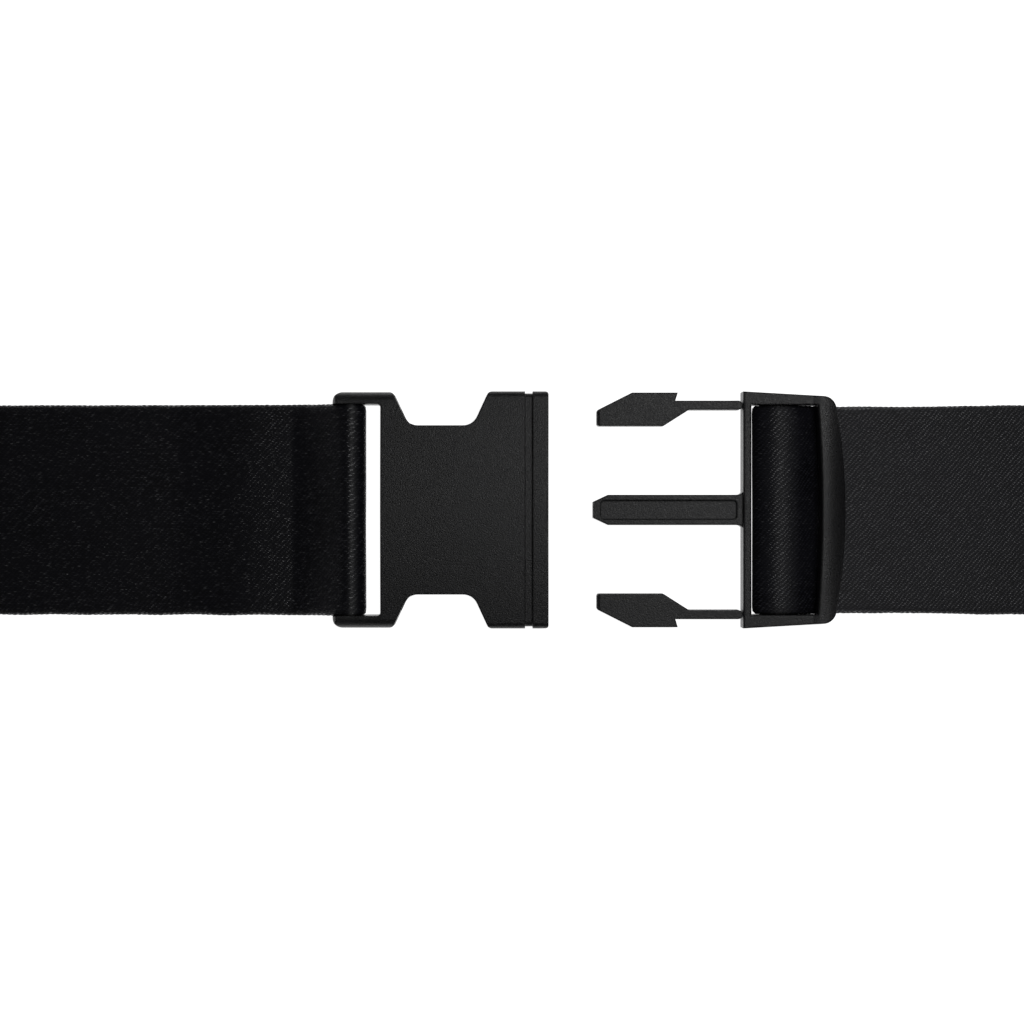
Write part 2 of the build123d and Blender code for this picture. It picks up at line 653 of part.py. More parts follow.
zip_tape("zip_tape_lower", -1)
zip_tape("zip_tape_upper", 1)
zip_coil("zip_coil_lower", -1)
zip_coil("zip_coil_upper", 1)

with BuildPart() as zip_top_stops:
    with BuildSketch(POCKET_PLANE.offset(TAPE_TOP)):
        with Locations((STOP_X, ZIP_Z)):
            with GridLocations(1, COIL_GAP + COIL_WIDTH + 0.2, 1, 2):
                RectangleRounded(STOP_LENGTH, COIL_WIDTH + 0.2, STOP_CORNER)
    extrude(amount=STOP_HEIGHT)
save(zip_top_stops, "zip_top_stops")

with BuildPart() as zip_bottom_stop:
    with BuildSketch(POCKET_PLANE.offset(TAPE_TOP)):
        with Locations((-STOP_X, ZIP_Z)):
            RectangleRounded(STOP_LENGTH, COIL_GAP + 2 * COIL_WIDTH + 0.4, STOP_CORNER)
    extrude(amount=STOP_HEIGHT)
save(zip_bottom_stop, "zip_bottom_stop")

with BuildPart() as zip_slider:
    # two side walls that stop short of the tapes
    with BuildSketch(POCKET_PLANE.offset(TAPE_TOP + SIDE_GAP)):
        with Locations((SLIDER_X, ZIP_Z)):
            RectangleRounded(SLIDER_LENGTH, SLIDER_WIDTH, SLIDER_CORNER)
            Rectangle(SLIDER_LENGTH + 1, SLIDER_CHANNEL, mode=Mode.SUBTRACT)
    extrude(amount=COIL_HEIGHT)
    # front plate over the coils, and back plate behind the tapes
    for plate_depth in (FRONT_DEPTH, BACK_DEPTH):
        with BuildSketch(POCKET_PLANE.offset(plate_depth)):
            with Locations((SLIDER_X, ZIP_Z)):
                RectangleRounded(SLIDER_LENGTH, SLIDER_WIDTH, SLIDER_CORNER)
        extrude(amount=SLIDER_PLATE)
    # thin post between the coils that joins the two plates
    with BuildSketch(POCKET_PLANE.offset(BACK_DEPTH + SLIDER_PLATE - 0.2)):
        with Locations((POST_X, ZIP_Z)):
            Rectangle(POST_LENGTH, COIL_GAP - 2 * SIDE_GAP)
    extrude(amount=FRONT_DEPTH - TAPE_DEPTH + 0.8)
    # bridge that holds the pull tab
    with BuildSketch(Plane.XY.offset(ZIP_Z - BRIDGE_THICK / 2)):
        with Locations((SLIDER_X, TAB_Y)):
            RectangleRounded(4.6, 3.6, 1.2)
            Circle(PIN_RADIUS + SIDE_GAP, mode=Mode.SUBTRACT)
    extrude(amount=BRIDGE_THICK)
save(zip_slider, "zip_slider")

with BuildPart() as zip_pull_tab:
    # flat tab that lies along the closed zip, towards its start, with a slot for the bridge
    # at one end and a hole for a cord at the other
    with BuildSketch(POCKET_PLANE.offset(TAB_AXIS_DEPTH - TAB_THICK / 2)):
        with Locations((SLIDER_X - TAB_LENGTH / 2 + 0.6, ZIP_Z)):
            RectangleRounded(TAB_LENGTH, TAB_WIDTH, 1.2)
        with Locations((SLIDER_X - 1.2, ZIP_Z)):
            Rectangle(5.0, 2.8, mode=Mode.SUBTRACT)
        with Locations((SLIDER_X - TAB_LENGTH + 4.4, ZIP_Z)):
            SlotOverall(3.6, 2.0, mode=Mode.SUBTRACT)
    extrude(amount=TAB_THICK)
    # round cross-pin that turns in the bridge
    with BuildSketch(Plane.XY.offset(ZIP_Z - TAB_WIDTH / 2)):
        with Locations((SLIDER_X, TAB_Y)):
            Circle(PIN_RADIUS)
    extrude(amount=TAB_WIDTH)
save(zip_pull_tab, "zip_pull_tab")
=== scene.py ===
"""Looks of the money belt: webbing, pocket, zip and buckle, on a pale table under soft light."""
import math

import bpy
import numpy as np
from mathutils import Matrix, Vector, noise


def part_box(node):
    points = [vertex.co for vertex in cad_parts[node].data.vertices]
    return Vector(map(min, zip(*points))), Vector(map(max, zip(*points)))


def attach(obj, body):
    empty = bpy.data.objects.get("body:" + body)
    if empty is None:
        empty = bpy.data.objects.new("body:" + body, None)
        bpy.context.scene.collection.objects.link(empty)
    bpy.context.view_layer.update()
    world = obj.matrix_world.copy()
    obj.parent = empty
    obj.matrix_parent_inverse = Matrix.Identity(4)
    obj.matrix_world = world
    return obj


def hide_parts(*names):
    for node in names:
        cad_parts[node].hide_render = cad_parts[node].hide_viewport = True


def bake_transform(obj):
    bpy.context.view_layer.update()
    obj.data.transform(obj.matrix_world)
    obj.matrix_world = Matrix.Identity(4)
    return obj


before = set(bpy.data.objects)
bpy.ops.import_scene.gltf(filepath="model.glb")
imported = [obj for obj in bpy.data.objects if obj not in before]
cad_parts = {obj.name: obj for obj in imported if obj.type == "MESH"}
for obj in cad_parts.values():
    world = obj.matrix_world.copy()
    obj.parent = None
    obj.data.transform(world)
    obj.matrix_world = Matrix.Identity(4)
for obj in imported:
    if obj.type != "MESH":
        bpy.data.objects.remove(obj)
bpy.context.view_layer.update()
MM = 0.001
X_AXIS, Y_AXIS, Z_AXIS = Vector((1, 0, 0)), Vector((0, 1, 0)), Vector((0, 0, 1))


def low_corner(node):
    """Lowest corner of a CAD node's box, in millimetres."""
    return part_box(node)[0] / MM


def high_corner(node):
    """Highest corner of a CAD node's box, in millimetres."""
    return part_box(node)[1] / MM


# ---------------------------------------------------------------- sizes, in millimetres
SOCKET_LOW, SOCKET_HIGH = low_corner("socket_housing"), high_corner("socket_housing")
BACKING_LOW, BACKING_HIGH = low_corner("pocket_backing"), high_corner("pocket_backing")
BUCKLE_Y = (SOCKET_LOW.y + SOCKET_HIGH.y) / 2
MID_Z = SOCKET_HIGH.z / 2
BACK_INNER_Y = BACKING_HIGH.y               # the back run's inner face, which carries the pocket

WEB_WIDTH = high_corner("webbing_belt").z - low_corner("webbing_belt").z
WEB_THICK = 1.5
HALF_THICK = WEB_THICK / 2
HALF_WIDTH = WEB_WIDTH / 2 - 0.05           # of the webbing, before its weft loops and slack
SCALLOP = 1.3                               # pitch of the weft loops along the edges
BACK_Y = BACK_INNER_Y + HALF_THICK

# the ring, seen from above: each half turns back and rolls onto its edge
RING_DEPTH = BACK_Y - BUCKLE_Y
TURN_START = 130.0
TURN_LENGTH = 302.0
TWIST_START = 126.0
TWIST_LENGTH = 112.0
JOIN_X = -20.0                              # where the halves meet, behind the pocket
ROUTE_STEP = 1.5                            # between the route's points on its straight runs

# the left half: sewn end on the table, loop round the socket's bar, strap lying on the hem
BAR_RADIUS = 2.5
BAR_GAP = 0.05
BAR_X = SOCKET_LOW.x + 3.9
BAR_LOOP = BAR_RADIUS + BAR_GAP + HALF_THICK
HEM_END = -60.0                             # cut edge of the sewn end
HEM_FLAT = -50.0                            # the sewn end lies flat on the table up to here
HEM_LEAVES = -46.0                          # and climbs to the bar from here
HEM_START = -53.0                           # the strap comes to rest on it here
HEM_MID = 2.36                              # height of the strap's middle there
HEM_DROP = 22.0                             # length over which the strap comes down past it
HEM_ROWS = (-57.5, -50.5)
HEM_STITCHES = 13
HEM_SUNK = 0.24                             # its stitches are pulled down into the webbing

# the right half: hidden tail on the table, loop round the plug's oval bar, strap on the tail
TAIL_END = high_corner("webbing_adjuster_loop").x
TAIL_LEAVES = 72.5                          # the tail climbs to the bar from here
OVAL_X, OVAL_Z = 63.9, 3.75                 # middle of the oval bar
OVAL_HALF_LONG, OVAL_HALF_TALL = 4.7, 1.75
OVAL_GAP = 0.2
OVAL_A = OVAL_HALF_LONG + OVAL_GAP + HALF_THICK
OVAL_B = OVAL_HALF_TALL + OVAL_GAP + HALF_THICK
STRAP_LANDS = 73.4                          # the strap comes to rest on the tail here
LAYER = WEB_THICK + 0.3                     # and lies this far above the table
LAYER_SHARE = 0.6                           # it is down on the table after this share of the twist
PINCH = 82.0                                # how far along it passes below the plug's rear bar
PINCH_EASE, PINCH_LENGTH, PINCH_RELAX = 4.0, 8.0, 40.0
PINCH_DEPTH = 0.6
FREE_EXTRA = 0.25                           # it is this much wider a side between frame and twist
STANDS, STANDS_EASE = 150.0, 50.0           # how far along it has begun to roll

# the pocket and its zip
POCKET_LENGTH = BACKING_HIGH.x - BACKING_LOW.x
POCKET_LOW_Z, POCKET_HIGH_Z = BACKING_LOW.z, BACKING_HIGH.z
POCKET_HEIGHT = POCKET_HIGH_Z - POCKET_LOW_Z
POCKET_MID_Z = (POCKET_LOW_Z + POCKET_HIGH_Z) / 2
POCKET_DEPTH = BACK_INNER_Y - low_corner("pocket_panel_lower").y
BACKING_DEPTH = BACK_INNER_Y - BACKING_LOW.y
ZIP_LOW_Z = high_corner("pocket_panel_lower").z
ZIP_HIGH_Z = low_corner("pocket_panel_upper").z
BINDING_WIDTH = (high_corner("pocket_binding").z - low_corner("pocket_binding").z - POCKET_HEIGHT) / 2
BINDING_DEPTH = BACK_INNER_Y - low_corner("pocket_binding").y
BINDING_CORNER = 4.0
PANEL_THICK = 0.8
TAB_LENGTH = 9.0
STITCH_PITCH = 3.6
LONG_STITCHES, SHORT_STITCHES = 62, 11      # the binding's, along the pocket and up its ends
ZIP_STITCHES = 58
ZIP_SEAM = 1.2                              # from the panel's edge to the zip's seam


# ---------------------------------------------------------------- building a material
class Surface:
    """A node material being built: makes its nodes and joins them up."""

    def __init__(self, name):
        self.material = bpy.data.materials.new(name)
        self.material.use_nodes = True
        self.tree = self.material.node_tree
        self.shader = self.tree.nodes["Principled BSDF"]

    def node(self, kind, **values):
        """A new node: each value is one of its settings, or the number on one of its inputs."""
        made = self.tree.nodes.new(kind)
        for key, value in values.items():
            if hasattr(made, key):
                setattr(made, key, value)
            else:
                made.inputs[key.replace("_", " ")].default_value = value
        return made

    def put(self, value, target):
        """Gives an input its value: another node's output, a colour or a number."""
        if hasattr(value, "is_output"):
            self.tree.links.new(value, target)
        elif isinstance(value, tuple):
            target.default_value = (*value, 1)
        else:
            target.default_value = value

    def set(self, **values):
        """Sets the shader's inputs by name."""
        for key, value in values.items():
            self.put(value, self.shader.inputs[key.replace("_", " ")])

    def calc(self, operation, *values):
        """One Math node: each value is a socket or a number."""
        made = self.node("ShaderNodeMath", operation=operation)
        for value, target in zip(values, made.inputs):
            self.put(value, target)
        return made.outputs[0]

    def wave(self, phase, turn):
        """Sine of a phase times a turn."""
        return self.calc("SINE", self.calc("MULTIPLY", phase, turn))

    def mix(self, share, first, second):
        """Mixes two colours, each a socket or a tuple of three numbers."""
        made = self.node("ShaderNodeMix", data_type="RGBA")
        for index, value in ((0, share), (6, first), (7, second)):
            self.put(value, made.inputs[index])
        return made.outputs[2]

    def ramp(self, source, low, high):
        """Maps low..high to 0..1, held at both ends."""
        made = self.node("ShaderNodeMapRange", From_Min=low, From_Max=high)
        self.put(source, made.inputs["Value"])
        return made.outputs["Result"]

    def noise(self, place, scale, detail, roughness=0.5):
        """A noise texture's value at a place."""
        made = self.node("ShaderNodeTexNoise", Scale=scale, Detail=detail, Roughness=roughness)
        self.put(place, made.inputs["Vector"])
        return made.outputs["Fac"]

    def place(self):
        """Object coordinates, in metres."""
        return self.node("ShaderNodeTexCoord").outputs["Object"]

    def rounded(self, radius):
        """The normal with its corners rounded off."""
        return self.node("ShaderNodeBevel", samples=6, Radius=radius).outputs["Normal"]

    def relief(self, height, strength, distance, normal=None):
        """Small relief, distance metres high, over a normal if one is given."""
        made = self.node("ShaderNodeBump", Strength=strength, Distance=distance)
        self.put(height, made.inputs["Height"])
        if normal is not None:
            self.put(normal, made.inputs["Normal"])
        self.set(Normal=made.outputs["Normal"])


def scaled(colour, share):
    return tuple(share * c for c in colour)


# ---------------------------------------------------------------- webbing
YARN = 0.41                 # width of one woven yarn, in millimetres
FLOAT = 1.1                 # length of one repeat along a yarn
TWILL_STEP = 0.37           # how far the pattern moves along from one yarn to the next
FLOAT_ROUND = 2.2           # above 1, a float shows as a short bead between dark gaps
BACK_THREAD = (0.024, 0.024, 0.031)
BACK_SHADE = (0.0004, 0.0004, 0.0008)
BACK_START, BACK_END = 150.0, 340.0         # along either half, where its tone eases to the back's


def twill_pattern(surface, uv, along, across, ribs, lean, spark):
    """The weave's height, the yarns' profile and a chance value for each float."""
    # yarns side by side, each a row of floats that steps along from its neighbour
    row = surface.calc("DIVIDE", across, YARN)
    row_number = surface.calc("FLOOR", row)
    stepped = surface.calc("MULTIPLY_ADD", row_number, -lean * TWILL_STEP, along)
    place = surface.calc("DIVIDE", stepped, FLOAT)
    over_yarn = surface.wave(surface.calc("FRACT", row), math.pi)
    over_float = surface.wave(surface.calc("FRACT", place), math.pi)
    over_float = surface.calc("POWER", over_float, FLOAT_ROUND)
    ribbed = surface.calc("MULTIPLY_ADD", over_float, ribs, 1 - ribs)
    profile = surface.calc("MULTIPLY", over_yarn, ribbed)
    # every float lies a little differently
    cell = surface.node("ShaderNodeCombineXYZ")
    surface.put(row_number, cell.inputs[0])
    surface.put(surface.calc("FLOOR", place), cell.inputs[1])
    white = surface.node("ShaderNodeTexWhiteNoise", noise_dimensions="3D")
    surface.put(cell.outputs["Vector"], white.inputs["Vector"])
    chance = white.outputs["Value"]
    uneven = surface.calc("MULTIPLY_ADD", chance, spark, 1 - 0.5 * spark)
    fuzz = surface.noise(uv, scale=4.5, detail=3.0, roughness=0.75)
    height = surface.calc("MULTIPLY_ADD", fuzz, 0.45, surface.calc("MULTIPLY", profile, uneven))
    return height, profile, chance


def stray_filaments(surface, uv, profile, chance):
    """Where a stray bright filament shows: drawn out along the yarns, on a few floats."""
    stretch = surface.node("ShaderNodeMapping")
    stretch.inputs["Scale"].default_value = (0.5, 2.0, 1.0)
    surface.put(uv, stretch.inputs["Vector"])
    drawn = surface.noise(stretch.outputs["Vector"], scale=1.7, detail=3.0, roughness=0.6)
    lucky = surface.calc("POWER", chance, 3.0)
    mask = surface.calc("MULTIPLY", surface.ramp(drawn, 0.48, 0.72), lucky)
    return surface.calc("MULTIPLY", mask, profile)


def webbing_material(name, thread, shade, speck, ribs, lean, roughness, shine, spark):
    """Diagonal twill webbing.  Its UV map is in millimetres: u along, v across.

    thread is the colour on top of a yarn and shade the painted shade between yarns; speck is how
    bright the stray filaments are, ribs how strongly the diagonal shows, lean (1 or -1) which way it
    runs, shine how much it reflects and spark how unevenly the floats shine.
    """
    surface = Surface(name)
    uv = surface.node("ShaderNodeUVMap", uv_map="weave").outputs["UV"]
    split = surface.node("ShaderNodeSeparateXYZ")
    surface.put(uv, split.inputs[0])
    # slow wander of the yarns, so that they aren't ruled lines
    wander = surface.noise(uv, scale=0.3, detail=3.0, roughness=0.6)
    along = surface.calc("MULTIPLY_ADD", wander, 1.2, split.outputs[0])
    across = surface.calc("MULTIPLY_ADD", wander, 0.5, split.outputs[1])
    height, profile, chance = twill_pattern(surface, uv, along, across, ribs, lean, spark)
    # both halves of the belt ease to one tone before they meet at the back, where the painted light
    # and painted shade of their two copies fade out
    back = surface.ramp(split.outputs[0], BACK_START, BACK_END)
    top_colour = surface.mix(back, thread, BACK_THREAD)
    low_colour = surface.mix(back, shade, BACK_SHADE)
    base = surface.mix(surface.ramp(height, 0.2, 1.1), low_colour, top_colour)
    # broad worn patches
    patch = surface.ramp(surface.noise(uv, scale=0.06, detail=4.0, roughness=0.65), 0.32, 0.7)
    dull = tuple(0.5 * a + 0.5 * b for a, b in zip(thread, shade))
    base = surface.mix(patch, base, dull)
    pale = (0.22 * speck, 0.22 * speck, 0.23 * speck)
    base = surface.mix(stray_filaments(surface, uv, profile, chance), base, pale)
    # the gaps are duller than the tops of the yarns
    gloss = surface.calc("MULTIPLY_ADD", surface.ramp(height, 0.1, 1.1), -0.5, roughness + 0.34)
    surface.set(Base_Color=base, Roughness=gloss, Specular_IOR_Level=shine)
    # yarns shine along a line square to their length
    grain = surface.node("ShaderNodeTangent", direction_type="UV_MAP", uv_map="weave")
    surface.set(Tangent=grain.outputs["Tangent"], Anisotropic=0.92, Anisotropic_Rotation=0.25)
    surface.relief(height, strength=0.7, distance=0.00006)
    return surface.material


# one webbing in two copies that differ as painted light: the right half's copy is painted lighter
# near the buckle, as painted light where the main light falls
TWILL_RIGHT = webbing_material(
    "webbing_twill", thread=(0.034, 0.034, 0.045), shade=(0.0003, 0.0003, 0.0006), speck=0.7,
    ribs=0.95, lean=-1, roughness=0.44, shine=0.52, spark=0.9,
)
# the left half's copy is painted darker, as painted shade, away from the main light
TWILL_LEFT = webbing_material(
    "webbing_twill_painted_shade", thread=(0.018, 0.018, 0.026), shade=(0.0005, 0.0005, 0.001), speck=1.3,
    ribs=0.85, lean=1, roughness=0.48, shine=0.8, spark=1.3,
)


# ---------------------------------------------------------------- other materials
def plastic_material(name, colour, roughness):
    """Moulded acetal: fine spark-eroded texture, faint flow marks, rounded edges."""
    surface = Surface(name)
    place = surface.place()
    texture = surface.noise(place, scale=3400.0, detail=2.0, roughness=0.6)
    flow = surface.noise(place, scale=55.0, detail=3.0)
    grain = surface.ramp(texture, 0.3, 0.7)
    gloss = surface.calc("MULTIPLY_ADD", grain, 0.26, roughness - 0.15)
    gloss = surface.calc("MULTIPLY_ADD", flow, 0.05, gloss)
    surface.set(Base_Color=surface.mix(grain, colour, scaled(colour, 5.0)), Roughness=gloss)
    surface.set(Specular_IOR_Level=0.5)
    surface.relief(texture, strength=0.8, distance=0.0001, normal=surface.rounded(0.00055))
    return surface.material


def cloth_material(name, colour, pitch, along=1.0, up=1.0):
    """Plain-woven cloth on object coordinates.

    pitch is in millimetres; along and up scale the yarns' count in X and in Z.
    """
    surface = Surface(name)
    place = surface.place()
    split = surface.node("ShaderNodeSeparateXYZ")
    surface.put(place, split.inputs[0])
    turn = 2 * math.pi / (pitch * MM)
    warp = surface.wave(split.outputs[0], turn * along)
    weft = surface.wave(split.outputs[2], turn * up)
    weave = surface.calc("MULTIPLY", warp, weft)
    fuzz = surface.noise(place, scale=4200.0, detail=3.0, roughness=0.7)
    height = surface.calc("MULTIPLY_ADD", fuzz, 1.2, weave)
    base = surface.mix(surface.ramp(height, -0.8, 1.9), scaled(colour, 0.45), colour)
    patch = surface.ramp(surface.noise(place, scale=45.0, detail=3.0), 0.35, 0.7)
    base = surface.mix(patch, base, scaled(colour, 0.7))
    gloss = surface.calc("MULTIPLY_ADD", fuzz, 0.2, 0.7)
    surface.set(Base_Color=base, Roughness=gloss, Sheen_Weight=0.12, Sheen_Roughness=0.45)
    surface.relief(height, strength=0.8, distance=0.00008)
    return surface.material


def thread_material(name, colour):
    """Twisted bonded thread: fine plies across each stitch."""
    surface = Surface(name)
    twist = surface.node(
        "ShaderNodeTexWave", bands_direction="DIAGONAL", Scale=1400.0, Distortion=0.6
    )
    surface.put(surface.place(), twist.inputs["Vector"])
    ply = twist.outputs["Fac"]
    gloss = surface.calc("MULTIPLY_ADD", ply, -0.12, 0.55)
    surface.set(Base_Color=surface.mix(ply, scaled(colour, 0.5), colour), Roughness=gloss)
    surface.relief(ply, strength=0.6, distance=0.00005)
    return surface.material


def enamel_material(name, colour, metal):
    """Black enamel on die-cast zinc, rubbed to bare metal along its corners."""
    surface = Surface(name)
    cast = surface.noise(surface.place(), scale=700.0, detail=4.0)
    # the rounded normal leans away from the true one only beside a corner
    rounded = surface.rounded(0.00018)
    true = surface.node("ShaderNodeNewGeometry").outputs["Normal"]
    agreement = surface.node("ShaderNodeVectorMath", operation="DOT_PRODUCT")
    surface.put(rounded, agreement.inputs[0])
    surface.put(true, agreement.inputs[1])
    corner = surface.ramp(agreement.outputs["Value"], 0.97, 0.8)
    rub = surface.calc("MULTIPLY", corner, surface.ramp(cast, 0.45, 0.65))
    gloss = surface.calc("MULTIPLY_ADD", cast, 0.22, 0.24)
    surface.set(Base_Color=surface.mix(rub, colour, metal), Roughness=gloss)
    surface.set(Metallic=surface.calc("MULTIPLY", rub, 0.9))
    surface.relief(cast, strength=0.35, distance=0.00005, normal=rounded)
    return surface.material


def coil_material(name, colour):
    """Nylon monofilament: smooth, with faint dye variation."""
    surface = Surface(name)
    dye = surface.noise(surface.place(), scale=300.0, detail=2.0)
    gloss = surface.calc("MULTIPLY_ADD", dye, 0.12, 0.26)
    surface.set(Base_Color=surface.mix(dye, scaled(colour, 0.6), colour), Roughness=gloss)
    return surface.material


PLASTIC = plastic_material("buckle_plastic", (0.005, 0.005, 0.0055), roughness=0.4)
THREAD = thread_material("black_thread", (0.012, 0.012, 0.013))
# a darker copy of the black thread, as painted shade, to match the left webbing's painted shade
HEM_THREAD = thread_material("thread_painted_shade", (0.005, 0.005, 0.006))
POCKET_CLOTH = cloth_material("pocket_cloth", (0.028, 0.028, 0.031), pitch=0.5)
BINDING = cloth_material("binding_tape", (0.017, 0.017, 0.019), pitch=0.9, up=0.02)
ZIP_TAPE = cloth_material("zip_tape", (0.018, 0.018, 0.02), pitch=0.6)
COIL = coil_material("zip_coil", (0.02, 0.02, 0.022))
ENAMEL = enamel_material("black_enamel", (0.012, 0.012, 0.013), metal=(0.42, 0.41, 0.39))


# ---------------------------------------------------------------- mesh helpers
def smooth(share):
    """Eases from 0 to 1."""
    share = min(max(share, 0.0), 1.0)
    return share * share * (3 - 2 * share)


def close_to(distance, reach):
    """1 on a line, easing to almost 0 at twice the reach from it."""
    return math.exp(-(distance / reach) ** 2)


def drift(*place):
    """Smooth noise, about -1 to 1, at a place of three numbers."""
    return noise.noise(Vector(place))


def ring_points(centre, first, second, radius, sides):
    """Points evenly round a centre, in the plane of two directions."""
    angles = [2 * math.pi * k / sides for k in range(sides)]
    return [centre + (first * math.cos(a) + second * math.sin(a)) * radius for a in angles]


def tube_faces(rings, sides, base=0, closed=False):
    """Squares that join rings of points; a closed tube's last ring joins its first."""
    faces = []
    for ring in range(rings if closed else rings - 1):
        here = base + ring * sides
        there = base + (ring + 1) % rings * sides
        for k in range(sides):
            n = (k + 1) % sides
            faces.append((here + k, here + n, there + n, there + k))
    return faces


def cap_faces(rings, sides, base=0):
    """The two ends of a tube."""
    last = base + (rings - 1) * sides
    return [tuple(range(base, base + sides))[::-1], tuple(range(last, last + sides))]


def mesh_object(name, points, faces, material, uv=None):
    """A smooth-shaded mesh from points in millimetres; uv gives one pair for each corner."""
    mesh = bpy.data.meshes.new(name)
    mesh.from_pydata([tuple(c * MM for c in p) for p in points], [], faces)
    if uv is not None:
        layer = mesh.uv_layers.new(name="weave")
        layer.data.foreach_set("uv", np.asarray(uv, float).ravel())
    mesh.polygons.foreach_set("use_smooth", [True] * len(mesh.polygons))
    mesh.materials.append(material)
    mesh.update()
    made = bpy.data.objects.new(name, mesh)
    bpy.context.scene.collection.objects.link(made)
    return made


def paint(node, material):
    """Gives a CAD node its material."""
    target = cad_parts[node]
    target.data.materials.clear()
    target.data.materials.append(material)


# ---------------------------------------------------------------- the webbing's route
def hermite(start, start_run, end, end_run, count):
    """Points of a smooth curve between two points, leaving out the last."""
    made = []
    for index in range(count):
        t = index / count
        a = 2 * t ** 3 - 3 * t ** 2 + 1
        b = t ** 3 - 2 * t ** 2 + t
        c = -2 * t ** 3 + 3 * t ** 2
        d = t ** 3 - t ** 2
        made.append(tuple(
            a * s + b * sr + c * e + d * er
            for s, sr, e, er in zip(start, start_run, end, end_run)
        ))
    return made


def on_bar(degrees):
    """(x, z) of the loop's middle line round the socket's bar, at an angle from its top."""
    angle = math.radians(degrees)
    return BAR_X + BAR_LOOP * math.sin(angle), MID_Z + BAR_LOOP * math.cos(angle)


def left_side_view():
    """(x, z) of the webbing's middle line from the hem, round the bar and out to the twist."""
    meets_bar, leaves_bar = 195, -22        # degrees
    route = [(HEM_END, HALF_THICK), (HEM_FLAT, HALF_THICK)]
    route += hermite((HEM_LEAVES, HALF_THICK), (3, 0), on_bar(meets_bar), (3.5, -0.18), 8)
    route += [on_bar(turn) for turn in np.linspace(meets_bar, leaves_bar, 40)]
    slope = math.radians(leaves_bar)
    leave = (-8 * math.cos(slope), 8 * math.sin(slope))
    route += hermite(route[-1], leave, (HEM_START, HEM_MID), (-11, 0), 24)[1:]
    for x in np.arange(HEM_START, -TWIST_START, -ROUTE_STEP):
        drop = (HEM_MID - HALF_THICK) * smooth((HEM_END - 1 - x) / HEM_DROP)
        route.append((x, HEM_MID - drop))
    return route


def on_oval(degrees):
    """(x, z) of the loop's middle line round the plug's oval bar, at an angle from its rear."""
    angle = math.radians(degrees)
    return OVAL_X + OVAL_A * math.cos(angle), OVAL_Z + OVAL_B * math.sin(angle)


def right_side_view():
    """(x, z) of the webbing from its hidden tail, round the oval bar and out to the twist."""
    meets_oval, leaves_oval = -95, -318     # degrees
    route = [(x, HALF_THICK) for x in np.arange(TAIL_END, TAIL_LEAVES, -ROUTE_STEP)]
    route += hermite((TAIL_LEAVES, HALF_THICK), (-5, 0), on_oval(meets_oval), (-5, 0.1), 10)
    route += [on_oval(turn) for turn in np.linspace(meets_oval, leaves_oval, 50)]
    angle = math.radians(leaves_oval)
    leave = Vector((OVAL_A * math.sin(angle), -OVAL_B * math.cos(angle))).normalized() * 4.0
    height = LAYER + HALF_THICK
    route += hermite(route[-1], tuple(leave), (STRAP_LANDS, height), (4.0, 0), 16)[1:]
    route += [(x, height) for x in np.arange(STRAP_LANDS, TWIST_START, ROUTE_STEP)]
    return route


def turn_frames(side, lift, count=600):
    """(middle point, direction across the webbing) from the twist's start to the back run."""
    place = Vector((TURN_START, 0))
    fine = TURN_LENGTH / count
    raw = []
    for index in range(count + 1):
        travelled = index * fine
        heading = math.pi * smooth(travelled / TURN_LENGTH)
        share = (travelled + TURN_START - TWIST_START) / TWIST_LENGTH
        raw.append((place.x, place.y, heading, math.pi / 2 * smooth(share), share))
        place += Vector((math.cos(heading), math.sin(heading))) * fine
    depth_scale = RING_DEPTH / raw[-1][1]
    frames = []
    for x, y, heading, roll, share in raw:
        height = WEB_WIDTH / 2 * math.sin(roll) + HALF_THICK * math.cos(roll)
        height += lift * (1 - smooth(share / LAYER_SHARE))
        outward = Vector((side * math.sin(heading), -math.cos(heading), 0))
        across = outward * math.cos(roll) - Z_AXIS * math.sin(roll)
        frames.append((Vector((side * x, BUCKLE_Y + y * depth_scale, height)), across))
    return frames


def ribbon_route(side_view, side, lift, back_steps=100):
    """Whole route of one half of the belt: side view first, then the turn, then the back run."""
    flat = Vector((0, -1, 0))
    frames = [(Vector((x, BUCKLE_Y, z)), flat) for x, z in side_view]
    frames += turn_frames(side, lift)
    last, across = frames[-1]
    for index in range(1, back_steps + 1):
        x = last.x + (JOIN_X - last.x) * index / back_steps
        frames.append((Vector((x, last.y, last.z)), across))
    return frames


def even_frames(frames, spacing=SCALLOP / 3):
    """Respaces a route evenly: (distance along, point, across, direction along)."""
    points = np.array([tuple(p) for p, _ in frames])
    acrosses = np.array([tuple(a) for _, a in frames])
    steps = np.linalg.norm(np.diff(points, axis=0), axis=1)
    keep = np.concatenate([[True], steps > 1e-6])
    points, acrosses = points[keep], acrosses[keep]
    travelled = np.concatenate([[0], np.cumsum(np.linalg.norm(np.diff(points, axis=0), axis=1))])
    count = int(round(travelled[-1] / spacing))
    wanted = np.linspace(0, travelled[-1], count + 1)
    place = np.stack([np.interp(wanted, travelled, points[:, k]) for k in range(3)], axis=1)
    across = np.stack([np.interp(wanted, travelled, acrosses[:, k]) for k in range(3)], axis=1)
    run = np.gradient(place, axis=0)
    run /= np.linalg.norm(run, axis=1)[:, None]
    across -= run * np.sum(across * run, axis=1)[:, None]
    across /= np.linalg.norm(across, axis=1)[:, None]
    return wanted, place, across, run


# ---------------------------------------------------------------- webbing pieces
def webbing_section(columns=18):
    """One section of the webbing: (share of its half width, share of its half thickness)."""
    face = 0.93 * np.linspace(-1, 1, columns + 1)
    edge = [(0.975, 0.86), (1.0, 0.0), (0.975, -0.86)]
    upper = [(w, 1.0) for w in face]
    lower = [(w, -1.0) for w in face[::-1]]
    return upper + edge + lower + [(-w, -h) for w, h in edge]


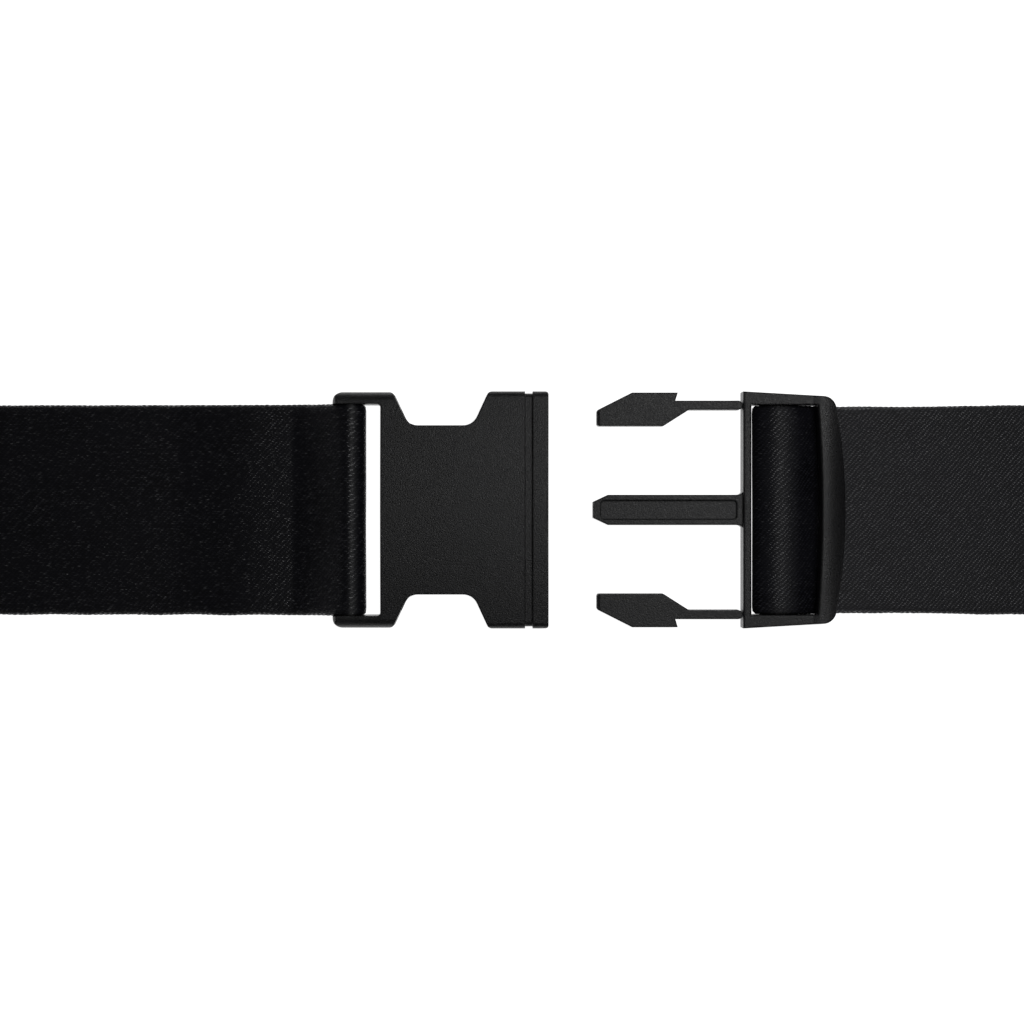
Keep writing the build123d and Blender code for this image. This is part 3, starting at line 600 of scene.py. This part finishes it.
def edge_reach(along, side, seed):
    """How far the edge on one side stands out: weft loops, slow wander and loose picks."""
    loops = 0.10 * abs(math.sin(math.pi * along / SCALLOP))
    wander = drift(along * 0.12, 3.0 * side, seed)
    loose = drift(along * 0.9, 7.0 * side, seed)
    return -0.12 + loops + 0.16 * wander + 0.07 * loose


def surface_lift(along, w, h, seed):
    """Height of a point above the webbing's middle: a ridge along each edge, slight waves."""
    ridge = 0.06 * close_to(abs(w) - 0.9, 0.03)
    wave = 0.10 * drift(along * 0.05, w * 1.7, seed + 5.0)
    return h * HALF_THICK * (1 + ridge) + wave


def webbing_uv(distance, widths, half_width):
    """(along, across) in millimetres for each corner of the webbing's squares and its two ends."""
    uv = []
    for near, far in zip(distance, distance[1:]):
        across = [width * half_width(near) for width in widths]
        for first, second in zip(across, across[1:] + across[:1]):
            uv += [(near, first), (near, second), (far, second), (far, first)]
    uv += [(distance[0], width * WEB_WIDTH / 2) for width in widths[::-1]]
    uv += [(distance[-1], width * WEB_WIDTH / 2) for width in widths]
    return uv


def webbing_mesh(name, route, material, half_width, seed):
    """Closed strip of webbing along a route, with woven edges and slight waviness.

    half_width(distance) is half the webbing's width.
    """
    distance, place, across, run = even_frames(route)
    normal = np.cross(run, across)
    section = webbing_section()
    points = []
    for row, along in enumerate(distance):
        reach = {side: half_width(along) + edge_reach(along, side, seed) for side in (-1, 1)}
        for w, h in section:
            out = w * reach[math.copysign(1, w)]
            lift = surface_lift(along, w, h, seed)
            points.append(place[row] + across[row] * out + normal[row] * lift)
    size = (len(distance), len(section))
    uv = webbing_uv(distance, [w for w, _ in section], half_width)
    made = mesh_object(name, points, tube_faces(*size) + cap_faces(*size), material, uv)
    return made, distance[-1] * MM


def left_half_width(along):
    """The flat part of the left webbing is pulled a little wider than the standing part."""
    extra, flat_end, ease = 0.35, 105, 50
    return HALF_WIDTH + extra * (1 - smooth((along - flat_end) / ease))


def right_half_width(along):
    """The right webbing just fits the plug's frame, is pinched below its bar, then relaxes."""
    out = smooth((along - PINCH) / PINCH_EASE)
    pinched = out * (1 - smooth((along - PINCH - PINCH_LENGTH) / PINCH_RELAX))
    standing = smooth((along - STANDS) / STANDS_EASE)
    return HALF_WIDTH + FREE_EXTRA * (out - standing) - PINCH_DEPTH * pinched


webbing_left, left_length = webbing_mesh(
    "webbing_left", ribbon_route(left_side_view(), side=-1, lift=0.0),
    TWILL_LEFT, left_half_width, seed=3.0,
)
webbing_right, right_length = webbing_mesh(
    "webbing_right", ribbon_route(right_side_view(), side=1, lift=LAYER),
    TWILL_RIGHT, right_half_width, seed=11.0,
)


# ---------------------------------------------------------------- stitches
def stitch_mesh(name, rows, material, radius=0.22, length=2.6):
    """Short stitches that dip into the cloth at both ends.

    rows is a list of (middle, direction along the stitch, direction out of the cloth).
    """
    points = []
    faces = []
    steps, sides = 7, 6
    for index, (centre, run, out) in enumerate(rows):
        side = run.cross(out)
        slack = 1 + 0.12 * drift(index * 1.7, 2.0, 5.0)
        lean = 0.2 * drift(index * 2.3, 8.0, 1.0)
        base = len(points)
        for t in np.linspace(-1, 1, steps).tolist():
            bow = 0.26 * slack * (1 - t * t) - 0.14
            here = centre + run * (t * length / 2) + out * bow + side * (lean * t)
            thick = radius * slack * (1 - 0.35 * t ** 4)
            points += ring_points(here, out, side, thick, sides)
        faces += tube_faces(steps, sides, base) + cap_faces(steps, sides, base)
    return mesh_object(name, points, faces, material)


def line_of_stitches(middle, run, out, count):
    """Evenly spaced stitches along a line."""
    start = -(count - 1) / 2
    return [(middle + run * (STITCH_PITCH * (start + k)), run, out) for k in range(count)]


def make_hem_thread():
    """Rows across the strap, where it lies on its own sewn end."""
    top = HEM_MID + HALF_THICK - HEM_SUNK
    rows = []
    for x in HEM_ROWS:
        rows += line_of_stitches(Vector((x, BUCKLE_Y, top)), Y_AXIS, Z_AXIS, HEM_STITCHES)
    return stitch_mesh("hem_thread", rows, HEM_THREAD)


def make_binding_thread():
    """Binding stitches on the pocket's side, and the same seam on the belt's outer face."""
    rows = []
    seams = ((BACK_INNER_Y - BINDING_DEPTH, -Y_AXIS), (BACK_INNER_Y + WEB_THICK, Y_AXIS))
    for y, out in seams:
        for side in (-1, 1):
            z = POCKET_MID_Z + side * (POCKET_HEIGHT + BINDING_WIDTH) / 2
            rows += line_of_stitches(Vector((0, y, z)), X_AXIS, out, LONG_STITCHES)
            x = side * (POCKET_LENGTH + BINDING_WIDTH) / 2
            rows += line_of_stitches(Vector((x, y, POCKET_MID_Z)), Z_AXIS, out, SHORT_STITCHES)
    return stitch_mesh("binding_thread", rows, THREAD)


def make_zip_thread():
    """One row through each panel, just outside the zip's opening."""
    rows = []
    y = BACK_INNER_Y - POCKET_DEPTH
    for z in (ZIP_LOW_Z - ZIP_SEAM, ZIP_HIGH_Z + ZIP_SEAM):
        rows += line_of_stitches(Vector((0, y, z)), X_AXIS, -Y_AXIS, ZIP_STITCHES)
    return stitch_mesh("zip_thread", rows, THREAD)


# ---------------------------------------------------------------- pocket
SLOPE_RUN = 3.2             # how far in from the edge the pocket's side climbs
EDGE_LIFT = 0.1             # the cloth starts this far above the backing


def pocket_depth(x, z, seed):
    """Depth of the pocket's outer surface below the belt's inner face, at a place on it."""
    in_x = POCKET_LENGTH / 2 - abs(x)
    in_z = min(z - POCKET_LOW_Z, POCKET_HIGH_Z - z)
    edge = min(in_x, in_z)
    zip_edge = min(abs(z - ZIP_LOW_Z), abs(z - ZIP_HIGH_Z))
    climb = smooth(in_x / SLOPE_RUN) ** 0.7 * smooth(in_z / SLOPE_RUN) ** 0.7
    start = BACKING_DEPTH + EDGE_LIFT
    # the binding's and the zip's stitches draw the cloth in
    turn = 2 * math.pi / STITCH_PITCH
    pucker = 0.22 * math.sin(turn * (x if in_z < in_x else z)) * close_to(edge - 2.2, 1.3)
    ripple = 0.10 * math.sin(turn * x) * close_to(zip_edge - ZIP_SEAM, 0.9)
    # away from the seams it is slack, with broad swells and small creases
    free = smooth((zip_edge - 2.5) / 5) * smooth((edge - 3) / 5)
    swell = 0.9 * drift(x * 0.022, z * 0.05, seed)
    crease = 0.45 * drift(x * 0.075 + z * 0.05, z * 0.11, seed + 4)
    slack = free * (swell + crease + 0.35)
    return start + (POCKET_DEPTH - start) * climb + pucker + slack + ripple


def fold_rounding(z, z_range):
    """How much the cloth's folded edge beside the zip rounds off."""
    folds = [edge for edge in z_range if min(abs(edge - ZIP_LOW_Z), abs(edge - ZIP_HIGH_Z)) < 0.1]
    return sum(0.3 * close_to(z - edge, 0.35) for edge in folds)


def sheet_faces(columns, rows):
    """Faces of a closed sheet: two grids of points, one behind the other, and its rim."""
    width = columns + 1
    size = width * (rows + 1)
    faces = []
    for row in range(rows):
        for column in range(columns):
            a = row * width + column
            b = a + size
            faces.append((a, a + 1, a + width + 1, a + width))
            faces.append((b, b + width, b + width + 1, b + 1))
    rim = list(range(width))
    rim += [row * width + columns for row in range(1, rows + 1)]
    rim += [rows * width + column for column in range(columns - 1, -1, -1)]
    rim += [row * width for row in range(rows - 1, 0, -1)]
    for a, b in zip(rim, rim[1:] + rim[:1]):
        faces.append((b, a, a + size, b + size))
    return faces


def cloth_panel(name, x_range, z_range, material, seed, columns, rows):
    """A closed sheet of pocket cloth over a range of the pocket, PANEL_THICK thick."""
    points = []
    # the outer surface first; each has a share of the fold's rounding and a least depth
    for sunk, share, least in ((0.0, 1.0, 0.45), (PANEL_THICK, -0.4, 0.02)):
        for z in np.linspace(*z_range, rows + 1):
            rounding = fold_rounding(z, z_range) * share
            for x in np.linspace(*x_range, columns + 1):
                depth = pocket_depth(x, z, seed) - sunk - rounding
                depth = max(depth, BACKING_DEPTH + least)
                points.append(Vector((x, BACK_INNER_Y - depth, z)))
    return mesh_object(name, points, sheet_faces(columns, rows), material)


def make_panels():
    """The pocket's lower and upper cloth, either side of the zip."""
    whole = (-POCKET_LENGTH / 2, POCKET_LENGTH / 2)
    lower = cloth_panel(
        "pocket_cloth_lower", whole, (POCKET_LOW_Z, ZIP_LOW_Z),
        POCKET_CLOTH, seed=2.0, columns=460, rows=44,
    )
    upper = cloth_panel(
        "pocket_cloth_upper", whole, (ZIP_HIGH_Z, POCKET_HIGH_Z),
        POCKET_CLOTH, seed=6.0, columns=460, rows=24,
    )
    return lower, upper


def make_end_tabs():
    """A short tab of tape over each end of the zip."""
    outer = POCKET_LENGTH / 2
    inner = outer - TAB_LENGTH
    return [
        cloth_panel(
            f"zip_end_tab_{word}", x_range, (ZIP_LOW_Z, ZIP_HIGH_Z),
            BINDING, seed=9.0, columns=18, rows=12,
        )
        for word, x_range in (("left", (-outer, -inner)), ("right", (inner, outer)))
    ]


def rounded_rectangle(length, height, radius, spacing, corner_steps=12):
    """Points (x, z, outward x, outward z) evenly round a rounded rectangle."""
    corners = []
    for cx, cz, start in ((1, 1, 0), (-1, 1, 90), (-1, -1, 180), (1, -1, 270)):
        centre = (cx * (length / 2 - radius), cz * (height / 2 - radius))
        for step in range(corner_steps + 1):
            angle = math.radians(start + 90 * step / corner_steps)
            out = (math.cos(angle), math.sin(angle))
            corners.append((centre[0] + radius * out[0], centre[1] + radius * out[1], *out))
    loop = np.array(corners + corners[:1])
    travelled = np.concatenate([[0], np.cumsum(np.hypot(*np.diff(loop[:, :2], axis=0).T))])
    count = int(travelled[-1] / spacing)
    wanted = np.arange(count) * travelled[-1] / count
    return wanted, np.stack([np.interp(wanted, travelled, loop[:, k]) for k in range(4)], axis=1)


def make_binding():
    """Folded tape sewn round the pocket's edge, drawn in a little at each stitch."""
    travelled, loop = rounded_rectangle(
        POCKET_LENGTH + BINDING_WIDTH, POCKET_HEIGHT + BINDING_WIDTH, BINDING_CORNER, spacing=0.9
    )
    inner_side = [(-1.0, 0.05), (-1.0, 0.75), (-0.8, 0.98), (-0.3, 1.03)]
    section = inner_side + [(-w, h) for w, h in inner_side[::-1]]
    points = []
    for along, (x, z, out_x, out_z) in zip(travelled, loop):
        pinch = 0.5 + 0.5 * math.cos(2 * math.pi * along / STITCH_PITCH)
        ease = 1 + 0.05 * drift(along * 0.08, 1.0, 2.0)
        for w, h in section:
            reach = w * (BINDING_WIDTH / 2) * (1 - 0.05 * pinch) * ease
            tall = BINDING_DEPTH * h * (1 - 0.16 * pinch * close_to(w, 0.6))
            height = z + POCKET_MID_Z + out_z * reach
            points.append(Vector((x + out_x * reach, BACK_INNER_Y - tall, height)))
    faces = tube_faces(len(travelled), len(section), closed=True)
    return mesh_object("pocket_edge_binding", points, faces, BINDING)


def make_coil(name, side):
    """One nylon coil wound along its tape's edge, its turns reaching between the other's."""
    low, high = low_corner(f"zip_coil_{name}"), high_corner(f"zip_coil_{name}")
    filament, pitch, past = 0.26, 1.3, 0.12
    steps, sides = 14, 6
    reach_y = (high.y - low.y) / 2 - filament
    reach_z = (high.z - low.z) / 2 - filament + past
    centre_y = (low.y + high.y) / 2
    centre_z = (low.z + high.z) / 2 - side * past
    start_x = low.x + 1 + (0.0 if side < 0 else pitch / 2)
    turns = int((high.x - low.x - 2) / pitch)
    centres = []
    for index in range(turns * steps + 1):
        angle = 2 * math.pi * index / steps
        head = 0.08 * max(0.0, -side * math.sin(angle)) ** 3
        x = start_x + pitch * index / steps
        y = centre_y + reach_y * math.cos(angle)
        z = centre_z + reach_z * math.sin(angle) - side * head
        centres.append(Vector((x, y, z)))
    points = []
    for before, here, after in zip(centres[:1] + centres, centres, centres[1:] + centres[-1:]):
        run = (after - before).normalized()
        first = run.cross(X_AXIS).normalized()
        points += ring_points(here, first, run.cross(first), filament, sides)
    faces = tube_faces(len(centres), sides) + cap_faces(len(centres), sides)
    return mesh_object(f"nylon_coil_{name}", points, faces, COIL)


hem_thread = make_hem_thread()
panel_lower, panel_upper = make_panels()
end_tabs = make_end_tabs()
binding = make_binding()
binding_thread = make_binding_thread()
zip_thread = make_zip_thread()
coil_lower, coil_upper = make_coil("lower", -1), make_coil("upper", 1)


# ---------------------------------------------------------------- moulded and cast pieces
for node in ("socket_housing", "plug_frame", "latch_arm_front", "latch_arm_back"):
    paint(node, PLASTIC)
for node in ("zip_slider", "zip_pull_tab", "zip_top_stops", "zip_bottom_stop"):
    paint(node, ENAMEL)
for node in ("zip_tape_lower", "zip_tape_upper"):
    paint(node, ZIP_TAPE)
paint("pocket_backing", POCKET_CLOTH)


# ---------------------------------------------------------------- what rides on what
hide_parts("webbing_belt")
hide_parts("webbing_belt", "webbing_adjuster_loop")
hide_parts("hem_stitching")
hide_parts("pocket_panel_lower")
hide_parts("pocket_panel_upper")
for tab in end_tabs:
    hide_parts("pocket_end_tabs")
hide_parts("pocket_binding")
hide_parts("binding_stitching")
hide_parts("zip_stitching")
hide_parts("zip_coil_lower")
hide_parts("zip_coil_upper")

for slot, slot_pieces in (
    ("webbing", (webbing_left, webbing_right)),
    ("thread", (hem_thread, binding_thread, zip_thread)),
    ("pocket_fabric", (panel_lower, panel_upper)),
    ("binding_tape", (binding, *end_tabs)),
    ("zip_coil", (coil_lower, coil_upper)),
):
    for piece in slot_pieces:
        if piece is not webbing_right:
            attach(piece, "root")

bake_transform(webbing_right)


# ---------------------------------------------------------------- table, light and camera
def make_table():
    """A white table that is lit evenly, just below the belt."""
    mesh = bpy.data.meshes.new("table")
    half, height = 3.0, -0.0003
    corners = [(x * half, y * half, height) for x, y in ((-1, -1), (1, -1), (1, 1), (-1, 1))]
    mesh.from_pydata(corners, [], [(0, 1, 2, 3)])
    table = bpy.data.objects.new("table", mesh)
    bpy.context.scene.collection.objects.link(table)
    surface = Surface("lit_white_table")
    surface.set(Base_Color=(0.86, 0.86, 0.86), Roughness=0.7)
    surface.set(Emission_Color=(1, 1, 1), Emission_Strength=1.0)
    mesh.materials.append(surface.material)


def soft_light(name, place, target, size, power):
    """A rectangular area light that faces a target."""
    lamp = bpy.data.lights.new(name, "AREA")
    lamp.shape = "RECTANGLE"
    lamp.size, lamp.size_y = size
    lamp.energy = power
    made = bpy.data.objects.new(name, lamp)
    made.location = place
    made.rotation_mode = "QUATERNION"
    made.rotation_quaternion = (Vector(target) - Vector(place)).to_track_quat("-Z", "Y")
    bpy.context.scene.collection.objects.link(made)


def make_light():
    """A small main light high up on the right, a broad one far behind it, and a dim room."""
    world = bpy.data.worlds.new("room")
    world.use_nodes = True
    room = world.node_tree.nodes["Background"]
    room.inputs["Color"].default_value = (1, 1, 1, 1)
    room.inputs["Strength"].default_value = 0.03
    bpy.context.scene.world = world
    target = (0.02, BUCKLE_Y * MM, 0)
    beside = (0.14, BUCKLE_Y * MM + 0.08, 0.50)
    soft_light("main", beside, target, size=(0.10, 0.20), power=0.5)
    soft_light("back_right", (0.75, 0.75, 0.75), target, size=(0.6, 0.6), power=0.6)


def make_camera():
    """Straight above the buckle: the picture is as wide as picture_width at the buckle's middle."""
    lift = 0.55
    picture_width = 0.245
    sensor = 36.0
    camera = bpy.data.cameras.new("camera")
    camera.sensor_width = sensor
    camera.lens = sensor * (lift - MID_Z * MM) / picture_width
    made = bpy.data.objects.new("camera", camera)
    made.location = (0, (BUCKLE_Y - 0.5) * MM, lift)
    bpy.context.scene.collection.objects.link(made)
    bpy.context.scene.camera = made
    bpy.context.scene.view_settings.view_transform = "Standard"


make_table()
make_light()
make_camera()
